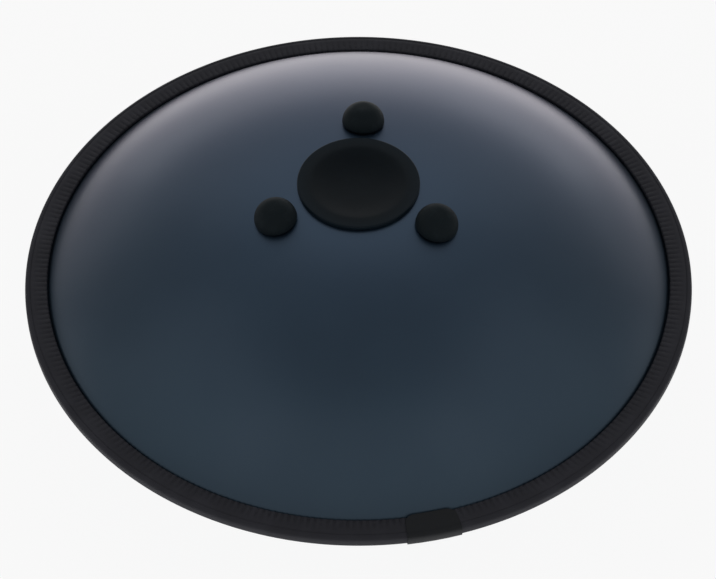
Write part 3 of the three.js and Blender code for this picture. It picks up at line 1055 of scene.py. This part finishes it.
class DRUM_OT_feet(bpy.types.Operator):
    """Mould the rubber feet"""

    bl_idname = "tongue_drum.feet"
    bl_label = "Feet"

    facets = 64
    dome_steps = 14

    def execute(self, context):
        foot = settings("foot")
        gap = settings("shell").fit_gap
        recess = foot.radius - foot.plate_cover + gap
        ceiling = foot.plate + gap
        quarter = arc(0.0, 0.0, 1.0, 0, 90, steps=self.dome_steps)
        dome = [
            (foot.flat + (foot.radius - foot.flat) * out, foot.side + (foot.height - foot.side) * up)
            for out, up in quarter
        ]
        base = foot.radius - foot.base_round
        outline = [
            (0.0, ceiling), (recess, ceiling), (recess, 0.0),
            *soft_corner((base - foot.base_round, 0.0), (base, 0.0), (foot.radius, foot.side)), *dome[1:],
            (0.0, foot.height),
        ]
        lift = Matrix.Translation((0, 0, gap))
        pattern = turned("foot_pattern", outline, self.facets)
        for number, place in enumerate(foot_places(), start=1):
            piece = copy_of(pattern, f"rubber_foot_{number}")
            set_in_place(piece, place @ lift)
            fit(piece, foot_rubber, f"foot_bumper_{number}", crease=50)
        bpy.data.objects.remove(pattern)
        return {"FINISHED"}


class DRUM_OT_foot_hardware(bpy.types.Operator):
    """Make the studs, washers and nuts that hold the feet"""

    bl_idname = "tongue_drum.foot_hardware"
    bl_label = "Foot Hardware"

    facets = 32
    nut_sides = 6

    def execute(self, context):
        foot = settings("foot")
        shell = settings("shell")
        washer_radius = foot.stud + foot.washer_rim
        sag = Dome().drop(washer_radius)
        washer_top = -shell.wall - sag - shell.fit_gap
        nut_top = washer_top - foot.washer - shell.seat_gap
        patterns = {
            "stud": self.stud(foot, shell.fit_gap, nut_top - foot.nut - foot.stud_end),
            "washer": self.washer(foot, shell.fit_gap, washer_radius, washer_top),
            "nut": self.nut(foot, shell.fit_gap, nut_top),
        }
        for kind, pattern in patterns.items():
            for number, place in enumerate(foot_places(), start=1):
                piece = copy_of(pattern, f"steel_{kind}_{number}")
                set_in_place(piece, place)
                fit(piece, bright_zinc, f"foot_{kind}_{number}")
            bpy.data.objects.remove(pattern)
        return {"FINISHED"}

    def stud(self, foot, gap, tip):
        """Plate and threaded stud."""
        plate = foot.radius - foot.plate_cover
        root = foot.stud - foot.thread_depth
        turns = int((gap - tip) / foot.thread_pitch) - 1
        thread = []
        for number in range(turns):
            low = tip + foot.thread_depth + number * foot.thread_pitch
            thread += [(root, low), (foot.stud, low + foot.thread_pitch / 2)]
        outline = [
            (0.0, tip), *thread, (foot.stud, gap), (plate - foot.edge, gap), (plate, gap + foot.edge),
            (plate, gap + foot.plate), (0.0, gap + foot.plate),
        ]
        return turned("stud_pattern", outline, self.facets)

    def washer(self, foot, gap, radius, top):
        """Flat washer with broken edges."""
        bore = foot.stud + gap
        bottom = top - foot.washer
        outline = [
            (bore, bottom), (radius - foot.edge, bottom), (radius, bottom + foot.edge),
            (radius, top - foot.edge), (radius - foot.edge, top), (bore, top),
        ]
        return turned("washer_pattern", outline, self.facets, closed=True)

    def nut(self, foot, gap, top):
        """Hexagon nut with broken corners and a bore."""
        corner = (foot.stud + foot.nut_wall) / math.cos(math.pi / self.nut_sides)
        piece = cylinder("nut_pattern", corner, foot.nut, self.nut_sides)
        bpy.ops.object.mode_set(mode="EDIT")
        flat = foot.nut / 2 - MERGE_DISTANCE
        for side in (1, -1):
            pick_edges(piece, lambda place: side * place.z > flat)
            bpy.ops.mesh.bevel(offset=foot.edge, segments=2)
        bpy.ops.object.mode_set(mode="OBJECT")
        cut_away(piece, cylinder("nut_drill", foot.stud + gap, 2 * foot.nut, self.facets))
        set_in_place(piece, Matrix.Translation((0, 0, top - foot.nut / 2)))
        return piece


# Stage

SOFTBOXES = (
    # name, place, width, height, glow
    ("back_sweep", (0.0, 1.59, 0.25), 2.4, 0.36, 0.58),
    ("back_right_sweep", (0.75, 1.42, 0.25), 0.8, 0.36, 0.18),
    ("back_left_strip", (-1.15, 1.05, 0.34), 0.8, 0.30, 0.20),
    ("back_right_strip", (1.15, 1.05, 0.34), 0.8, 0.30, 0.20),
    ("back_low_softbox", (0.0, 1.44, 0.78), 3.8, 0.70, 0.10),
    ("back_high_softbox", (0.0, 1.12, 1.22), 2.2, 0.60, 0.155),
    ("back_top_softbox", (0.0, 0.72, 1.53), 1.0, 0.60, 0.215),
    ("left_strip", (-1.59, -0.14, 0.25), 1.4, 0.30, 0.25),
    ("right_strip", (1.59, -0.14, 0.25), 1.4, 0.30, 0.25),
    ("left_softbox", (-1.12, -0.45, 1.12), 1.5, 1.20, 0.126),
    ("right_softbox", (1.12, -0.45, 1.12), 1.5, 1.20, 0.126),
    ("front_softbox", (0.0, -1.20, 1.12), 2.4, 1.10, 0.13),
)
CEILING_EDGE = 0.85  # sine of the elevation at which the walls begin to turn into the ceiling
FLOOR_SIZE = 12.0
PAPER_HALF, PAPER_FADE = 0.29, 0.20  # half width of the bright paper on the floor, and its soft edge
PAPER_SHIFT = 0.03  # how far the paper lies to the right
PAPER_DEPTH = 0.1  # width of the paper to its depth
PAPER_GLOW, PAPER_DIM = 1.10, 0.43  # what reflections see of the paper, and of the floor beside it
SHADE, SHADE_FADE = 0.10, 0.055  # radius of the floor in the drum's full shade, and its soft edge
FLOOR_GAP = 0.0002  # how far the floor lies below the drum
SENSOR_WIDTH = 36.0  # of the camera, in millimetres


class DRUM_OT_stage(bpy.types.Operator):
    """Set the floor, the light and the camera"""

    bl_idname = "tongue_drum.stage"
    bl_label = "Stage"

    def execute(self, context):
        stage = settings("stage")
        context.scene.view_settings.view_transform = "Standard"
        self.lay_floor(stage)
        self.light_studio(context, stage)
        for name, place, width, height, glow in SOFTBOXES:
            self.hang_softbox(name, Vector(place), width, height, glow)
        self.aim_camera(context, stage)
        return {"FINISHED"}

    def lay_floor(self, stage):
        """A pale floor that looks like the backdrop and keeps some of the drum's shadow."""
        bpy.ops.object.select_all(action="DESELECT")
        bpy.ops.mesh.primitive_plane_add(size=FLOOR_SIZE, location=(0, 0, -FLOOR_GAP))
        floor = bpy.context.object
        floor.name = "floor"
        material = bpy.data.materials.new("pale_floor")
        shading = Shading(material)
        path = shading.node("ShaderNodeLightPath", output="Is Camera Ray")
        seen = path + path.other("Is Glossy Ray") + path.other("Is Transmission Ray")
        pale = (stage.backdrop, stage.backdrop, stage.backdrop, 1.0)
        matt = shading.node("ShaderNodeBsdfDiffuse", {}, {"Color": pale})
        across = axis_distance(shading, PAPER_DEPTH, PAPER_SHIFT)
        aside = shading.clamped(across, PAPER_HALF, PAPER_HALF + PAPER_FADE)
        paper = shading.mix(aside, tinted(pale, PAPER_GLOW), tinted(pale, PAPER_DIM))
        colour = shading.mix(path, paper, pale)
        glow = shading.node("ShaderNodeEmission", {}, {"Color": colour, "Strength": stage.floor_glow})
        clear_of_drum = shading.clamped(axis_distance(shading), SHADE, SHADE + SHADE_FADE)
        share_of_glow = seen * (1 - stage.floor_shadow) * clear_of_drum
        lit = shading.node("ShaderNodeMixShader", {}, {0: share_of_glow, 1: matt, 2: glow})
        below = shading.node("ShaderNodeNewGeometry", output="Backfacing")
        clear = shading.node("ShaderNodeBsdfTransparent")
        top_only = shading.node("ShaderNodeMixShader", {}, {0: below, 1: lit, 2: clear})
        shading.node("ShaderNodeOutputMaterial", {}, {"Surface": top_only})
        material.cycles.emission_sampling = "NONE"
        floor.data.materials.append(material)

    def light_studio(self, context, stage):
        """Dim walls under a darker ceiling; the camera sees only the pale backdrop."""
        world = bpy.data.worlds.new("studio")
        context.scene.world = world
        shading = Shading(world)
        camera = shading.node("ShaderNodeLightPath", output="Is Camera Ray")
        direction = shading.node("ShaderNodeTexCoord", output="Generated")
        height = shading.node("ShaderNodeSeparateXYZ", {}, {0: direction}, output="Z")
        upwards = shading.clamped(height, CEILING_EDGE, 1.0)
        studio = stage.walls + (stage.ceiling - stage.walls) * upwards
        strength = camera * stage.backdrop + (1 - camera) * studio
        background = shading.node("ShaderNodeBackground", {}, {"Strength": strength})
        shading.node("ShaderNodeOutputWorld", {}, {"Surface": background})

    def hang_softbox(self, name, place, width, height, glow):
        """A soft lamp of an even glow that faces the drum."""
        bpy.ops.object.light_add(type="AREA", location=place)
        lamp = bpy.context.object
        lamp.name = name
        lamp.rotation_euler = (Vector((0, 0, JOINT_HEIGHT)) - place).to_track_quat("-Z", "Y").to_euler()
        lamp.data.shape = "RECTANGLE"
        lamp.data.size = width
        lamp.data.size_y = height
        lamp.data.energy = glow * math.pi * width * height
        lamp.visible_camera = False

    def aim_camera(self, context, stage):
        """The camera at the photograph's viewing angle."""
        back = Vector((0.0, -math.cos(stage.elevation), math.sin(stage.elevation)))
        up = Vector((0.0, math.sin(stage.elevation), math.cos(stage.elevation)))
        centre = Vector((stage.aim_right, 0.0, JOINT_HEIGHT + stage.aim_lift))
        aim = centre - stage.aim_down * up
        bpy.ops.object.camera_add(location=aim + stage.distance * back)
        camera = bpy.context.object
        camera.name = "camera"
        camera.rotation_euler = (-back).to_track_quat("-Z", "Y").to_euler()
        camera.data.sensor_width = SENSOR_WIDTH
        camera.data.lens = stage.focal_length
        context.scene.camera = camera


class DRUM_PT_pieces(bpy.types.Panel):
    """The drum's pieces, sizes and finishes"""

    bl_idname = "DRUM_PT_pieces"
    bl_label = "Tongue Drum"
    bl_space_type = "VIEW_3D"
    bl_region_type = "UI"
    bl_category = SIDEBAR_TAB

    def draw(self, context):
        for operator in OPERATORS:
            self.layout.operator(operator.bl_idname)
        for name, group in GROUPS.items():
            box = self.layout.box()
            box.label(text=name.title())
            for prop in group.__annotations__:
                box.prop(settings(name), prop)


GROUPS = {
    "shell": ShellSizes,
    "tongue": TongueSizes,
    "trim": TrimSizes,
    "plug": PlugSizes,
    "foot": FootSizes,
    "finishes": Finishes,
    "stage": StageSettings,
}
OPERATORS = (
    DRUM_OT_stage,
    DRUM_OT_underside_shell,
    DRUM_OT_playing_shell,
    DRUM_OT_flange_bond,
    DRUM_OT_rim_trim,
    DRUM_OT_joint_sleeve,
    DRUM_OT_port_plug,
    DRUM_OT_feet,
    DRUM_OT_foot_hardware,
)
CLASSES = (*GROUPS.values(), *OPERATORS, DRUM_PT_pieces)


def register():
    for made in CLASSES:
        bpy.utils.register_class(made)
    for name, group in GROUPS.items():
        setattr(bpy.types.Scene, "drum_" + name, PointerProperty(type=group))


def unregister():
    for name in GROUPS:
        delattr(bpy.types.Scene, "drum_" + name)
    for made in reversed(CLASSES):
        bpy.utils.unregister_class(made)


def main():
    register()
    for operator in OPERATORS:
        getattr(bpy.ops.tongue_drum, operator.bl_idname.split(".")[1])()


if __name__ == "__main__":
    main()
